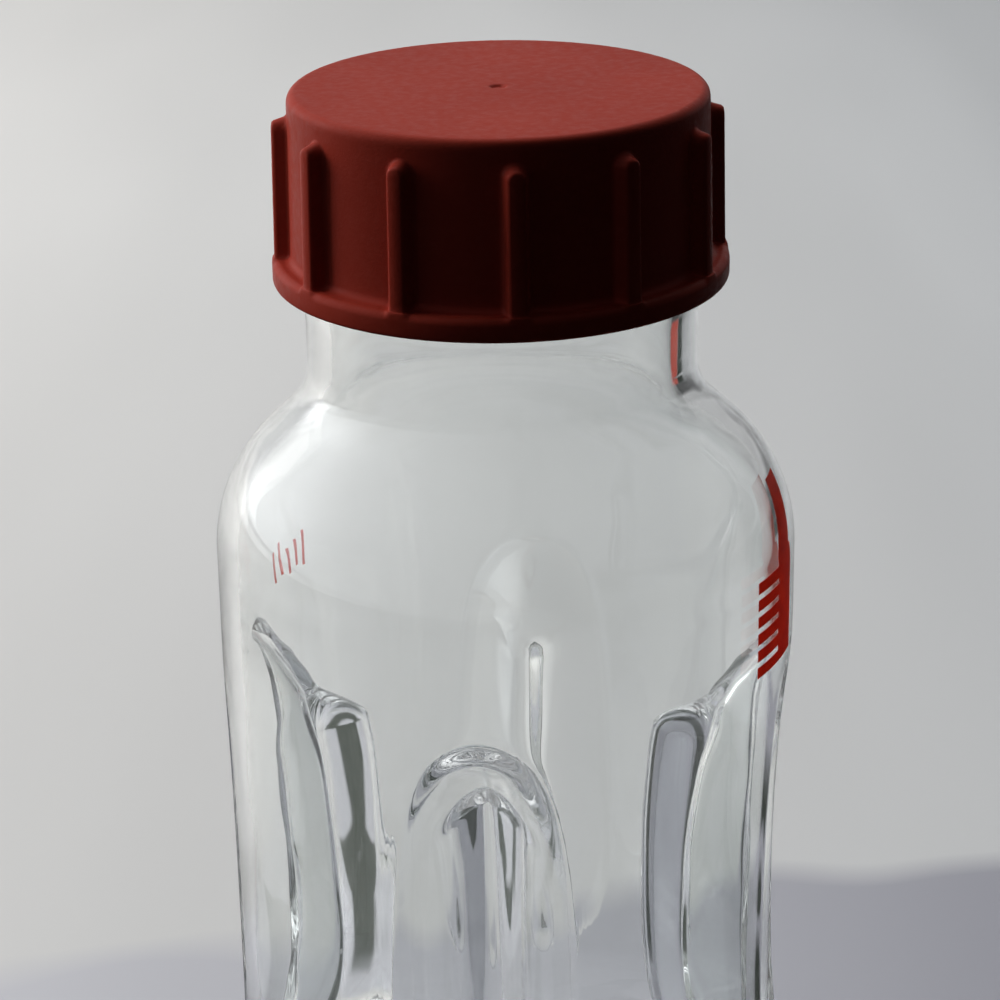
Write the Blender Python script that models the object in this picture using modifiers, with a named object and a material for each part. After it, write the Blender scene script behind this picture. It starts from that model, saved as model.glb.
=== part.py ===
"""Baffled laboratory bottle, 250 ml, with a ribbed screw cap, a seal and its facing.

The bottle stands on the XY plane, axis on Z, base centre at the origin.
Azimuth is in degrees, measured from -Y (the front) towards +X.
Sizes are in millimetres and profiles are (r, z) points; MM turns them into metres.
"""

import math

import bmesh
import bpy
import numpy as np

MM = 0.001

# ---- bottle ----
BODY_R = 35.0
WALL = 2.6
INNER_R = BODY_R - WALL
COLUMNS = 60             # steps round the bottle and the cap

LIP_Z = 138.0
LIP_INNER_EDGE = 1.6
LIP_OUTER_EDGE = 1.8
BORE_R = 16.5            # inside the threaded finish
FINISH_R = 20.9          # threaded finish, root of the thread
COLLAR_R = 23.2          # plain neck below the thread
COLLAR_TOP = 121.0
COLLAR_LOW = 109.2
NECK_IN = 20.2           # inside the plain neck
NECK_EDGE = 10.5         # rounding inside, where the slope meets the neck
NECK_FILLET = 8.2        # rounding outside, where the collar meets the slope
SHOULDER_SLOPE = 46.6    # degrees from the vertical
SHOULDER_R = 18.8

BASE_CORNER = 9.0
INNER_CORNER = BASE_CORNER - WALL + 1.5
FOOT_R = 21.5            # inner edge of the flat standing ring
PUNT = 2.6               # height of the hollow under the base
FLOOR_Z = 5.6            # inside floor, at its centre
FLOOR_EDGE_Z = FLOOR_Z - 1.6

# ---- baffles, pressed into the wall ----
BAFFLES = 4
BAFFLE_AZ = -6.0         # middle of the first baffle
BAFFLE_SPACING = 360.0 / BAFFLES
BAFFLE_TOP = 71.8        # crown of the pressed mouth
BAFFLE_LOW = 12.0
BAFFLE_DEPTH = 13.6
BAFFLE_NOSE = 8.0        # the blade's cross-section, a V with a rounded nose
BAFFLE_FLANK = 1.85      # steepness of the V's sides
BAFFLE_SOFT = 1.4        # how gently the wall turns into the mouth
BASE_FADE = (2.0, 9.0)   # height where pressing starts, and the height it takes to be full
PRESS_Z = (5.0, 90.0)    # only points between these heights are pressed
CROWD = 0.65             # column spacing over a baffle's middle, 1 for even columns

# Rounded ends of the blade: reach in mm, exponent, and slope beyond the end
BLADE_TOP_END = (8.5, 0.75, 1.67)
BLADE_LOW_END = (5.0, 0.9, 2.2)
BLADE_END = 1.0          # distance inside an end where its slope takes over

# Extra glass inside the fold
GATHER_DROP = 7.0        # start below the mouth's crown, on the baffle's middle
GATHER_BOW = 0.1         # how much lower it starts to each side, per mm squared
GATHER_DOME = 5.2        # thickness of the dome at its top
GATHER_RISE = 3.4        # height over which the dome builds up
GATHER_THIN = 2.6        # thickness lost below the dome
GATHER_THIN_OVER = 18.0  # decay length of that loss
GATHER_LOW_FADE = (BAFFLE_LOW + 2.0, 9.0)  # start height and length of the lower fade
GATHER_WIDTH = 3.0

# Heights of the rings of points both walls need over the baffles, from the top down
BAFFLE_ROWS = (75.5, 72.3, 69.2, 65.8, 62.6, 59.2, 51.0, 30.0, 21.5, 16.5, 12.5)

# ---- cap ----
CAP_LOW = 119.7
CAP_TOP = 142.0
CAP_TOP_WALL = 1.6
CAP_R = 24.7
CAP_RIM_R = 24.4
CAP_EDGE = 1.5           # rounding of the top rim
CAP_ROOT_R = 23.0        # inside, root of the thread
CAP_MOUTH_R = 23.9       # wider opening below the thread
CAP_INNER_EDGE = 0.6
FLANGE_R = 26.8
FLANGE_H = 2.9
FLANGE_EDGE = 0.9
RIBS = 12
RIB_AZ = 4.0
RIB_R = 1.3
RIB_OUT = 26.5           # outermost radius of the ribs from the bottle's axis
RIB_TOP = CAP_TOP - 2.8
RIB_LOW = CAP_LOW + 1.6
RIB_STEPS = 12

# ---- threads ----
PITCH = 4.0
THREAD_STEPS = 48        # per turn
THREAD_FADE = 0.12       # part of a turn over which each end fades
THREAD_END = 0.02        # share of the height left at the very end
THREAD_LOW = 126.6
THREAD_TURNS = 1.95
THREAD_FADE_R = 20.6     # the ends fade to this radius
CAP_THREAD_LOW = THREAD_LOW - 1.6
CAP_THREAD_TURNS = 2.3
CAP_THREAD_FADE_R = 23.3
# First half of each section, (r, z) from root to crest; the other half mirrors it in z
THREAD_HALF = [(19.6, -1.3), (FINISH_R, -1.1), (22.4, -0.5)]
CAP_THREAD_HALF = [(23.7, 1.25), (CAP_ROOT_R, 0.95), (21.6, 0.35)]

# ---- seal and facing: radius, (bottom, top), edge bevel ----
SEAL = (22.0, (138.85, 140.15), 0.2)
FACING = (21.6, (138.3, 138.65), 0.08)
DISC_SEGMENTS = 48

SHARP_ANGLE = 35.0       # edges sharper than this are shaded sharp


# ---- scene and materials ----
def clear():
    for ob in list(bpy.data.objects):
        bpy.data.objects.remove(ob, do_unlink=True)


def collection(name):
    new = bpy.data.collections.new(name)
    bpy.context.scene.collection.children.link(new)
    return new


def material(name, colour, roughness, transmission=0.0, ior=1.45):
    mat = bpy.data.materials.new(name)
    mat.use_nodes = True
    inputs = mat.node_tree.nodes["Principled BSDF"].inputs
    inputs["Base Color"].default_value = (*colour, 1.0)
    inputs["Roughness"].default_value = roughness
    inputs["Transmission Weight"].default_value = transmission
    inputs["IOR"].default_value = ior
    mat.diffuse_color = (*colour, 1.0)
    return mat


def clear_glass():
    return material("clear_glass", colour=(0.93, 0.96, 0.95), roughness=0.03,
                    transmission=1.0, ior=1.473)


def red_plastic():
    return material("red_plastic", colour=(0.27, 0.045, 0.035), roughness=0.45)


def pale_silicone():
    return material("pale_silicone", colour=(0.62, 0.6, 0.56), roughness=0.6)


def white_ptfe():
    return material("white_ptfe", colour=(0.85, 0.85, 0.83), roughness=0.4)


# ---- shared geometry ----
def arc(centre_r, centre_z, radius, start, end, count):
    """Points on an arc, angles in degrees from +r towards +z."""
    return [
        (centre_r + radius * math.cos(a), centre_z + radius * math.sin(a))
        for a in (math.radians(angle) for angle in np.linspace(start, end, count))
    ]


def smooth(x):
    """Smoothstep from 0 to 1, flat outside that range."""
    x = min(max(x, 0.0), 1.0)
    return x * x * (3.0 - 2.0 * x)


def fade_in(z, start, length):
    return smooth((z - start) / length)


def swept(name, points, steps, where, turns=1.0, helical=False):
    """A profile swept about Z into one closed, welded mesh.

    A plain sweep turns an open profile that starts and ends on the axis.
    A helical one sweeps a closed section up one pitch a turn and caps its ends.
    """
    count = len(points)
    edge_count = count if helical else count - 1
    mesh = bpy.data.meshes.new(name)
    mesh.from_pydata(
        [(r * MM, 0.0, z * MM) for r, z in points],
        [(i, (i + 1) % count) for i in range(edge_count)],
        [],
    )
    ob = bpy.data.objects.new(name, mesh)
    where.objects.link(ob)
    screw = ob.modifiers.new("sweep", "SCREW")
    screw.axis = "Z"
    screw.angle = 2.0 * math.pi * turns
    screw.screw_offset = PITCH * turns * MM if helical else 0.0
    screw.steps = screw.render_steps = steps
    screw.use_merge_vertices = not helical
    screw.merge_threshold = 1e-6
    screw.use_normal_calculate = False

    # Put the evaluated mesh in place of the modifier
    bpy.context.view_layer.update()
    graph = bpy.context.evaluated_depsgraph_get()
    mesh = bpy.data.meshes.new_from_object(ob.evaluated_get(graph))
    ob.modifiers.clear()
    ob.data = mesh
    bm = bmesh.new()
    bm.from_mesh(mesh)
    bmesh.ops.remove_doubles(bm, verts=bm.verts, dist=1e-7)
    if helical:
        bmesh.ops.holes_fill(bm, edges=[e for e in bm.edges if e.is_boundary])
    bmesh.ops.recalc_face_normals(bm, faces=bm.faces)
    bm.to_mesh(mesh)
    bm.free()
    return ob


def ridge(name, half, low, turns, fade_r, where):
    """A right-hand helical ridge starting at height low, its ends fading to fade_r."""
    section = half + [(r, -z) for r, z in reversed(half)]
    steps = int(round(THREAD_STEPS * turns))
    ob = swept(name, section, steps, where, turns, helical=True)
    crest_side = half[-1][0] - fade_r
    for v in ob.data.vertices:
        r = math.hypot(v.co.x, v.co.y) / MM
        # the angle gives the part of a turn, the height tells which turn it is
        turn = math.atan2(v.co.y, v.co.x) % (2.0 * math.pi) / (2.0 * math.pi)
        turn += round(v.co.z / MM / PITCH - turn)
        turn = min(max(turn, 0.0), turns)
        share = smooth(min(turn, turns - turn) / THREAD_FADE)
        share = THREAD_END + (1.0 - THREAD_END) * share
        # only the part on the crest's side of fade_r is drawn back
        if (r - fade_r) * crest_side > 0:
            scale = (fade_r + (r - fade_r) * share) / r
            v.co.x *= scale
            v.co.y *= scale
        v.co.z += low * MM
    return ob


def unite(ob, other):
    """Join a helper to the object with a live boolean, and hide the helper."""
    union = ob.modifiers.new("union", "BOOLEAN")
    union.operation = "UNION"
    union.solver = "EXACT"
    union.object = other
    other.hide_render = True
    other.display_type = "WIRE"


# ---- bottle ----
def shoulder():
    """Outer shoulder from the collar down to the body, and its large arc's centre."""
    points = arc(COLLAR_R + NECK_FILLET, COLLAR_LOW, NECK_FILLET,
                 180.0, 180.0 + SHOULDER_SLOPE, 4)
    top_r, top_z = points[-1]
    slope = math.radians(SHOULDER_SLOPE)
    centre_r = BODY_R - SHOULDER_R
    low_r = centre_r + SHOULDER_R * math.cos(slope)
    low_z = top_z - (low_r - top_r) / math.tan(slope)
    centre_z = low_z - SHOULDER_R * math.sin(slope)
    points += arc(centre_r, centre_z, SHOULDER_R, SHOULDER_SLOPE, 0.0, 5)
    return points, (centre_r, centre_z)


def inner_neck_edge(slope_r, slope_z):
    """Rounding from the inner slope, which passes through the point given, to the neck."""
    slope = math.radians(SHOULDER_SLOPE)
    centre_r = NECK_IN + NECK_EDGE
    rise = ((slope_r - centre_r) * math.cos(slope) + NECK_EDGE) / math.sin(slope)
    return arc(centre_r, slope_z + rise, NECK_EDGE, 180.0 + SHOULDER_SLOPE, 180.0, 4)


def bottle_profile():
    """From the centre of the floor up the inside, over the lip and down the outside."""
    outer_shoulder, shoulder_centre = shoulder()
    # floor, inner corner and wall
    corner_r = INNER_R - INNER_CORNER
    points = [(0.0, FLOOR_Z), (13.0, FLOOR_Z - 0.5), (corner_r - 1.0, FLOOR_EDGE_Z)]
    points += arc(corner_r, FLOOR_EDGE_Z + INNER_CORNER, INNER_CORNER, -80.0, 0.0, 4)
    points += [(INNER_R, z) for z in reversed(BAFFLE_ROWS)]
    # inner shoulder and neck
    points += arc(*shoulder_centre, SHOULDER_R - WALL, 0.0, SHOULDER_SLOPE, 4)
    points += inner_neck_edge(*points[-1])
    # the glass thickens inwards behind the thread
    thick_start = COLLAR_TOP - 3.0
    for rise in (0.0, 3.0, 6.0, 9.0):
        points.append((NECK_IN + (BORE_R - NECK_IN) * smooth(rise / 9.0), thick_start + rise))
    # lip
    points += arc(BORE_R + LIP_INNER_EDGE, LIP_Z - LIP_INNER_EDGE, LIP_INNER_EDGE,
                  180.0, 90.0, 3)
    points += arc(FINISH_R - LIP_OUTER_EDGE, LIP_Z - LIP_OUTER_EDGE, LIP_OUTER_EDGE,
                  90.0, 0.0, 4)
    # step from the finish out to the collar
    points += [
        (FINISH_R, COLLAR_TOP + 1.9), (FINISH_R + 0.5, COLLAR_TOP + 1.2),
        (COLLAR_R - 0.7, COLLAR_TOP + 0.4), (COLLAR_R, COLLAR_TOP - 0.8),
    ]
    points += outer_shoulder
    points += [(BODY_R, z) for z in BAFFLE_ROWS]
    # base corner, standing ring and punt
    points += arc(BODY_R - BASE_CORNER, BASE_CORNER, BASE_CORNER, 0.0, -90.0, 4)
    points += [(FOOT_R, 0.0), (FOOT_R - 3.0, PUNT * 0.45), (10.0, PUNT * 0.9), (0.0, PUNT)]
    return points


def soft_positive(x, softness):
    """Zero below zero, x above it, with a bend about four times softness wide."""
    return softness * float(np.logaddexp(0.0, x / softness))


def blade_end_loss(distance, reach, exponent, slope):
    """Depth lost at a distance inside one end of the blade."""
    rounded = BAFFLE_DEPTH * math.exp(-((max(distance, BLADE_END) / reach) ** exponent))
    return rounded - slope * min(distance - BLADE_END, 0.0)


def blade_depth(z):
    """Depth of the blade's tip at a height."""
    top_loss = blade_end_loss(BAFFLE_TOP - z, *BLADE_TOP_END)
    low_loss = blade_end_loss(z - BAFFLE_LOW, *BLADE_LOW_END)
    return BAFFLE_DEPTH - top_loss - low_loss


def across(az):
    """Distance along the body's surface from each baffle's middle."""
    for k in range(BAFFLES):
        middle = BAFFLE_AZ + BAFFLE_SPACING * k
        yield math.radians((az - middle + 180.0) % 360.0 - 180.0) * BODY_R


def press(az, z):
    """Depth pressed into the wall at an azimuth and a height."""
    tip = blade_depth(z) + BAFFLE_NOSE
    depth = sum(
        soft_positive(tip - math.hypot(BAFFLE_NOSE, BAFFLE_FLANK * offset), BAFFLE_SOFT)
        for offset in across(az)
    )
    return depth * fade_in(z, *BASE_FADE)


def gathered(az, z):
    """Extra glass along the middle of a fold, thickest in the dome at its top."""
    total = 0.0
    for offset in across(az):
        below = BAFFLE_TOP - z - GATHER_DROP - GATHER_BOW * offset**2
        past_dome = max(below - GATHER_RISE, 0.0)
        height = GATHER_DOME * smooth(below / GATHER_RISE)
        height -= GATHER_THIN * (1.0 - math.exp(-past_dome / GATHER_THIN_OVER))
        width = math.exp(-((offset / GATHER_WIDTH) ** 2))
        total += height * fade_in(z, *GATHER_LOW_FADE) * width
    return total


def radial(az):
    """Unit vector from the axis outwards at an azimuth."""
    a = math.radians(az)
    return np.array((math.sin(a), -math.cos(a), 0.0))


def outside(az, z):
    """Point on the pressed outer wall."""
    return radial(az) * (BODY_R - press(az, z)) + np.array((0.0, 0.0, z))


def outward(az, z):
    """Unit normal of the pressed outer wall."""
    along_az = outside(az + 0.2, z) - outside(az - 0.2, z)
    along_z = outside(az, z + 0.1) - outside(az, z - 0.1)
    normal = np.cross(along_az, along_z)
    return normal / np.linalg.norm(normal)


def crowded(az):
    """Azimuth moved towards the middle of the nearest baffle."""
    half = BAFFLE_SPACING / 2.0
    u = ((az - BAFFLE_AZ + half) % BAFFLE_SPACING - half) / half
    return az + half * (u * (CROWD + (1.0 - CROWD) * u * u) - u)


def press_baffles(ob):
    """Crowd the columns towards the baffles, then push both walls in."""
    corner_r = BODY_R - BASE_CORNER
    for v in ob.data.vertices:
        x, y, z = (c / MM for c in v.co)
        r = math.hypot(x, y)
        if r < 1e-4:
            continue
        az = crowded(math.degrees(math.atan2(x, -y)))
        out = radial(az)
        point = out * r + np.array((0.0, 0.0, z))
        if PRESS_Z[0] < z < PRESS_Z[1]:
            # the walls of the base corner follow less and less
            follow = min(1.0, max(0.0, (r - corner_r) / (INNER_R - corner_r)))
            point = point - out * (press(az, z) * follow)
            if abs(r - INNER_R) < 0.05:
                # the inner wall keeps its thickness square to the pressed outer wall
                point = point + out * WALL - outward(az, z) * WALL - out * gathered(az, z)
        v.co = point * MM
    bm = bmesh.new()
    bm.from_mesh(ob.data)
    bmesh.ops.triangulate(bm, faces=[f for f in bm.faces if len(f.verts) > 3],
                          quad_method="SHORT_EDGE")
    bm.to_mesh(ob.data)
    bm.free()


def make_bottle(parts, cutters):
    ob = swept("bottle", bottle_profile(), COLUMNS, parts)
    press_baffles(ob)
    unite(ob, ridge("bottle_thread", THREAD_HALF, THREAD_LOW, THREAD_TURNS,
                    THREAD_FADE_R, cutters))
    ob.data.materials.append(clear_glass())


# ---- cap ----
def cap_profile():
    """From the centre of the top down the outside and back up the inside."""
    flange_top = CAP_LOW + FLANGE_H
    inner_top = CAP_TOP - CAP_TOP_WALL
    # small dimple in the middle of the top, then the rim
    points = [(0.0, CAP_TOP - 0.25), (0.7, CAP_TOP - 0.22), (1.15, CAP_TOP)]
    points += arc(CAP_RIM_R - CAP_EDGE, CAP_TOP - CAP_EDGE, CAP_EDGE, 90.0, 8.0, 5)
    # skirt and flange
    points += [(CAP_R, flange_top + 0.8), (CAP_R + 0.25, flange_top + 0.25),
               (CAP_R + 0.8, flange_top)]
    points += arc(FLANGE_R - FLANGE_EDGE, flange_top - FLANGE_EDGE, FLANGE_EDGE, 90.0, 0.0, 4)
    points += [(FLANGE_R, CAP_LOW + 0.5), (FLANGE_R - 0.5, CAP_LOW)]
    # mouth, threaded wall and underside of the top
    points += [(CAP_MOUTH_R + 0.3, CAP_LOW), (CAP_MOUTH_R, CAP_LOW + 0.3),
               (CAP_MOUTH_R, CAP_LOW + 3.2), (CAP_ROOT_R, CAP_LOW + 4.0)]
    points += arc(CAP_ROOT_R - CAP_INNER_EDGE, inner_top - CAP_INNER_EDGE, CAP_INNER_EDGE,
                  0.0, 90.0, 3)
    points.append((0.0, inner_top))
    return points


def make_ribs(cutters):
    """Round-topped upright rods, evenly spaced round the cap, as one object."""
    outline = [(0.0, RIB_TOP)]
    outline += arc(0.0, RIB_TOP - RIB_R, RIB_R, 90.0, 0.0, 5)[1:]
    outline += [(RIB_R, RIB_LOW), (0.0, RIB_LOW)]
    rib = swept("rib", outline, RIB_STEPS, cutters)
    bm = bmesh.new()
    for k in range(RIBS):
        a = math.radians(RIB_AZ + 360.0 / RIBS * k)
        first = len(bm.verts)
        bm.from_mesh(rib.data)
        bm.verts.ensure_lookup_table()
        for v in bm.verts[first:]:
            x = v.co.x + (RIB_OUT - RIB_R) * MM
            y = v.co.y
            v.co.x = x * math.sin(a) + y * math.cos(a)
            v.co.y = -x * math.cos(a) + y * math.sin(a)
    bmesh.ops.recalc_face_normals(bm, faces=bm.faces)
    mesh = bpy.data.meshes.new("ribs")
    bm.to_mesh(mesh)
    bm.free()
    bpy.data.objects.remove(rib, do_unlink=True)
    ribs = bpy.data.objects.new("ribs", mesh)
    cutters.objects.link(ribs)
    return ribs


def make_cap(parts, cutters):
    ob = swept("screw_cap", cap_profile(), COLUMNS, parts)
    unite(ob, make_ribs(cutters))
    unite(ob, ridge("cap_thread", CAP_THREAD_HALF, CAP_THREAD_LOW, CAP_THREAD_TURNS,
                    CAP_THREAD_FADE_R, cutters))
    ob.data.materials.append(red_plastic())


# ---- seal and facing ----
def make_disc(name, radius, heights, edge, mat, parts):
    low, top = heights
    bm = bmesh.new()
    bmesh.ops.create_cone(bm, cap_ends=True, segments=DISC_SEGMENTS, radius1=radius * MM,
                          radius2=radius * MM, depth=(top - low) * MM)
    bmesh.ops.translate(bm, verts=bm.verts, vec=(0.0, 0.0, 0.5 * (low + top) * MM))
    mesh = bpy.data.meshes.new(name)
    bm.to_mesh(mesh)
    bm.free()
    ob = bpy.data.objects.new(name, mesh)
    parts.objects.link(ob)
    bevel = ob.modifiers.new("edge", "BEVEL")
    bevel.width = edge * MM
    bevel.segments = 1
    bevel.limit_method = "ANGLE"
    mesh.materials.append(mat)


def main():
    clear()
    parts = collection("baffled_lab_bottle")
    cutters = collection("construction")
    make_bottle(parts, cutters)
    make_cap(parts, cutters)
    make_disc("silicone_seal", *SEAL, pale_silicone(), parts)
    make_disc("ptfe_facing", *FACING, white_ptfe(), parts)
    for ob in parts.objects:
        ob.data.shade_smooth()
        ob.data.set_sharp_from_angle(angle=math.radians(SHARP_ANGLE))


main()
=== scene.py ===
"""Baffled laboratory bottle: clear glass, red screw cap, seal, enamel marks and a plain studio.

The bottle stands on z = 0 with its axis on Z. Its front faces -Y, where the camera is.
Azimuths are in degrees from the front and grow towards +X, the right of the picture.
The product is worked out in mm and scaled by MM as it becomes a mesh. The studio is in metres.
"""

import math

import bpy
import numpy as np
from mathutils import Matrix, Vector


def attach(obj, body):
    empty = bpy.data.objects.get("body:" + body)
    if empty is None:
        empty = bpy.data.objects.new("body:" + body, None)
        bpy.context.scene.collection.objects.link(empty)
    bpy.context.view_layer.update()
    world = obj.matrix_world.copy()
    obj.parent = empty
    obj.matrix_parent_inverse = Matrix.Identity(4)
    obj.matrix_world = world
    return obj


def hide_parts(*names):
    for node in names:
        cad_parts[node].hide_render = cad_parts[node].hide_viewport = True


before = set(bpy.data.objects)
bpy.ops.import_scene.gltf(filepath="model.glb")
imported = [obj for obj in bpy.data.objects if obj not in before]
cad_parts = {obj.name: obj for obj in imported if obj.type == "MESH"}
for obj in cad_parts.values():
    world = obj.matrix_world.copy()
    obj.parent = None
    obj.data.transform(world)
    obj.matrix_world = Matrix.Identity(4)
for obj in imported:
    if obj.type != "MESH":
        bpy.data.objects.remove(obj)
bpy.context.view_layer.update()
MM = 0.001

# Glass body
BODY_R, WALL = 35.0, 2.6
SHOULDER_R, SHOULDER_SLOPE = 18.8, 46.6  # rounding, and the cone's angle in degrees
SHOULDER_CENTRE_R = BODY_R - SHOULDER_R
BASE_CORNER = 9.0
FOOT_R, PUNT_Z, FLOOR_Z = 21.5, 2.6, 5.6  # inner edge of the foot, hollow under it, inside floor

# Neck: the finish is the threaded part above the collar
LIP_Z, BORE_R, FINISH_R = 138.0, 16.5, 20.9
LIP_IN_ROUND, LIP_OUT_ROUND = 1.6, 1.8
COLLAR_R, COLLAR_TOP, COLLAR_LOW = 23.2, 121.0, 109.2
NECK_FILLET = 8.2
NECK_IN_R, NECK_IN_ROUND = 20.2, 10.5
THREAD_PITCH, THREAD_CREST_R, THREAD_LOW, THREAD_TURNS = 4.0, 22.4, 126.6, 1.95

# Baffles, pressed in by a V-shaped blade with a rounded nose
BAFFLE_AZIMUTHS = (-6.0, 84.0, 174.0, -96.0)
BAFFLE_TOP, BAFFLE_LOW = 71.8, 12.0
BLADE_DEPTH, BLADE_NOSE, BLADE_FLANK = 13.6, 8.0, 1.85
PRESS_BEND = 1.4  # softness of the bend where the blade meets the wall

# Cap
CAP_LOW, CAP_TOP = 119.7, 142.0
CAP_R, CAP_RIM_R, CAP_EDGE = 24.7, 24.4, 1.1
CAP_ROOT_R, CAP_CREST_R = 23.0, 21.6
CAP_THREAD_DROP, CAP_THREAD_TURNS = 1.6, 2.3
FLANGE_R, FLANGE_H, FLANGE_FILLET = 26.8, 2.9, 0.9
RIB_COUNT, RIB_AZIMUTH, RIB_R, RIB_TOP = 12, 4.0, 26.5, 139.2

# Unevenness of the blown glass
WALL_WAVE, NECK_WAVE, OUTER_WAVE = 0.045, 0.05, 0.02
INNER_SEED, OUTER_SEED = 1.0, 2.0

# Row spacing down the wall: (above this height, step)
OUTER_STEPS = ((80.0, 2.4), (60.0, 0.6), (48.0, 1.1), (27.0, 2.0), (0.0, 1.0))
INNER_STEPS = ((80.0, 2.4), (68.0, 0.7), (59.0, 0.36), (48.0, 0.9), (27.0, 2.0), (0.0, 1.0))


# ------------------------------------------------------------------ curves and meshes
def smooth(x):
    x = np.clip(x, 0.0, 1.0)
    return x * x * (3.0 - 2.0 * x)


def arc(centre_r, centre_z, radius, start, end, count):
    angles = np.radians(np.linspace(start, end, count))
    return [(centre_r + radius * math.cos(a), centre_z + radius * math.sin(a)) for a in angles]


def line(start, end, count):
    """count points from start towards end, leaving out end."""
    (r0, z0), (r1, z1) = start, end
    return [(r0 + (r1 - r0) * k / count, z0 + (z1 - z0) * k / count) for k in range(count)]


def ring(azimuth, radius, z):
    angle = np.radians(azimuth)
    return np.stack([radius * np.sin(angle), -radius * np.cos(angle), z + 0.0 * angle], 1)


def rings(azimuth, profile):
    return [ring(azimuth, radius, z) for radius, z in profile]


def volume(mesh):
    mesh.calc_loop_triangles()
    points = np.array([v.co for v in mesh.vertices])
    corners = np.array([triangle.vertices for triangle in mesh.loop_triangles])
    first, second, third = (points[corners[:, k]] for k in range(3))
    return float(np.einsum("ij,ij->i", first, np.cross(second, third)).sum() / 6.0)


def add_mesh(name, verts, faces, closed=True, rounded=True):
    """An object from points in metres. A closed mesh is turned to face outwards."""
    mesh = bpy.data.meshes.new(name)
    mesh.from_pydata(verts, [], faces)
    mesh.update()
    if closed and volume(mesh) < 0:
        mesh.flip_normals()
    if rounded:
        mesh.shade_smooth()
    piece = bpy.data.objects.new(name, mesh)
    bpy.context.scene.collection.objects.link(piece)
    return piece


def lathe(name, rows):
    """A closed mesh from rows of points round the axis, each row an (n, 3) array in mm.
    A row whose points all meet becomes one vertex."""
    verts, faces, index = [], [], []
    count = len(rows[0])
    for row in rows:
        if np.ptp(row, axis=0).max() < 1e-6:
            index.append([len(verts)] * count)
            verts.append(row[0])
        else:
            index.append(list(range(len(verts), len(verts) + count)))
            verts.extend(row)
    for upper, lower in zip(index[:-1], index[1:]):
        for i in range(count):
            j = (i + 1) % count
            quad = [upper[i], upper[j], lower[j], lower[i]]
            face = [v for k, v in enumerate(quad) if v not in quad[:k]]
            if len(face) > 2:
                faces.append(face)
    return add_mesh(name, (np.array(verts) * MM).tolist(), faces)


def columns(count, sectors, phase, crowd):
    """Azimuths, crowded towards each sector's middle. A crowd of 1 spaces them evenly."""
    per_sector = count // sectors
    half = 180.0 / sectors
    out = []
    for sector in range(sectors):
        for k in range(per_sector):
            u = -1.0 + 2.0 * k / per_sector
            out.append(phase + sector * 2.0 * half + half * u * (crowd + (1.0 - crowd) * u * u))
    return np.array(out)


def baffle_columns(count):
    """Azimuths close together over each baffle and wide apart between them."""
    offset = np.linspace(-45.0, 45.0, 1801)
    away = np.abs(offset)
    density = 1.0 / (1.0 + 5.0 * smooth((away - 20.0) / 12.0))
    density = density + 0.9 * (1.0 - smooth((away - 5.5) / 5.0))
    total = np.concatenate([[0.0], np.cumsum(0.5 * (density[1:] + density[:-1]))])
    cells = count // 4
    cells = np.interp(np.arange(cells) / cells * total[-1], total, offset)
    return np.concatenate([cells + centre for centre in BAFFLE_AZIMUTHS])


# ------------------------------------------------------------------ baffles and threads
def blade_depth(below, above):
    """Depth of the blade's tip, from the distances below the baffle's top and above its
    lower end. It runs out exponentially, then straight beyond each end."""
    top_length, top_power, top_slope = 8.5, 0.75, 1.67
    low_length, low_power, low_slope = 5.0, 0.9, 2.2
    top, low = max(below, 1.0), max(above, 1.0)
    depth = BLADE_DEPTH * (1.0 - math.exp(-((top / top_length) ** top_power)))
    depth += top_slope * min(below - 1.0, 0.0)
    low_loss = BLADE_DEPTH * math.exp(-((low / low_length) ** low_power))
    return depth - (low_loss - low_slope * min(above - 1.0, 0.0))


def baffle_coords(azimuth, z):
    """For each baffle: distance across it, below its top and above its lower end."""
    for centre in BAFFLE_AZIMUTHS:
        offset = (azimuth - centre + 180.0) % 360.0 - 180.0
        yield np.radians(offset) * BODY_R, BAFFLE_TOP - z, z - BAFFLE_LOW


def press(azimuth, z):
    """Depth pressed into the outer wall, fading out near the base."""
    depth = 0.0 * azimuth
    for across, below, above in baffle_coords(azimuth, z):
        flank = np.sqrt(BLADE_NOSE**2 + (BLADE_FLANK * across) ** 2)
        blade = blade_depth(below, above) + BLADE_NOSE - flank
        depth = depth + PRESS_BEND * np.logaddexp(0.0, blade / PRESS_BEND)
    return depth * smooth((z - 2.0) / 9.0)


def gathered(azimuth, z):
    """Extra glass along the middle of the fold. The dome at its top is the thickest place."""
    dome_drop, dome_curve, dome_length = 7.0, 0.10, 3.4
    dome_height, ridge_loss, ridge_length, half_width = 5.2, 2.6, 18.0, 3.0
    height = 0.0 * azimuth
    for across, below, above in baffle_coords(azimuth, z):
        start = below - dome_drop - dome_curve * across**2
        thinning = 1.0 - np.exp(-np.maximum(start - dome_length, 0.0) / ridge_length)
        extra = dome_height * smooth(start / dome_length) - ridge_loss * thinning
        low_fade = float(smooth((above - 2.0) / 9.0))
        height = height + extra * low_fade * np.exp(-((across / half_width) ** 2))
    return height


def wave(azimuth, z, seed):
    """Slow unevenness of blown glass, about -1 to 1."""
    angle = np.radians(azimuth)
    total = 0.0 * angle
    for k in range(6):
        mixed = seed * 7.3 + k * 2.39
        climb = 0.09 * (1.0 + 0.45 * k) * z * math.cos(mixed)
        total = total + np.sin((k % 4 + 1) * angle + climb + 5.0 * math.sin(mixed * 1.7))
    return total / 3.2


def outer_point(azimuth, z):
    return ring(azimuth, BODY_R - press(azimuth, z), z)


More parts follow.
